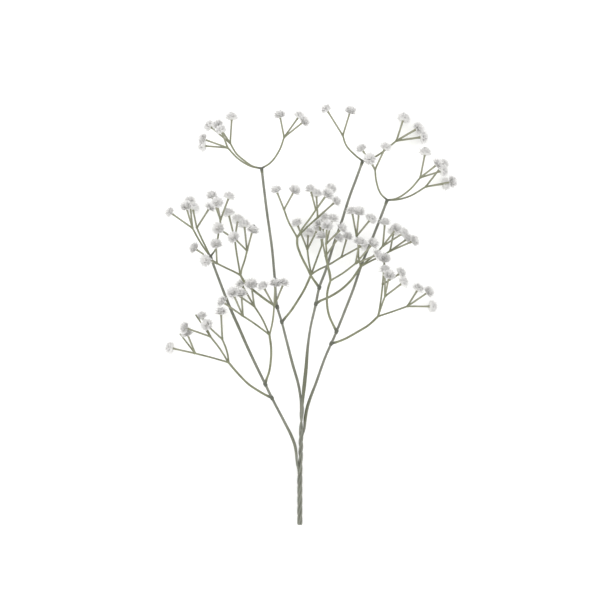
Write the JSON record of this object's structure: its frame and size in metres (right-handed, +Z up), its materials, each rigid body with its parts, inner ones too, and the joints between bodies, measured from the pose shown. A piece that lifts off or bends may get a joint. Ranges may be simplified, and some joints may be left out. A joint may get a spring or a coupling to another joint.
{
  "type": "artificial gypsophila stem",
  "caption": "Cut artificial gypsophila stem lying flat: coated wires twisted into one stalk that opens into forked sprays of small white blooms.",
  "frame": {"origin": "on the surface that the stem lies on, under the middle of the whole stem", "axes": "+Z up from the surface; +Y along the stem, from the cut end to the crown; +X across it, to the right seen from above with the crown away"},
  "size_m": [0.3893, 0.5604, 0.1022],
  "materials": {
    "wire_coating": "matt extruded coating, olive grey, lightly marked lengthwise",
    "stalk_plastic": "satin moulded plastic, sage green, paler towards the thin stalks",
    "petal_plastic": "matt, slightly translucent moulded petals, warm white"
  },
  "bodies": {
    "root": {"wire_left": "wire_coating", "wire_inner": "wire_coating", "wire_middle": "wire_coating", "wire_right": "wire_coating", "spray_left_low": "petal_plastic", "spray_left_mid": "petal_plastic", "spray_left_top": "petal_plastic", "spray_inner_low": "petal_plastic", "spray_inner_mid": "petal_plastic", "spray_inner_top": "petal_plastic", "spray_middle_low": "petal_plastic", "spray_middle_mid": "petal_plastic", "spray_middle_top": "petal_plastic", "spray_right_low": "petal_plastic", "spray_right_mid": "petal_plastic", "spray_right_top": "petal_plastic"}
  },
  "joints": []
}
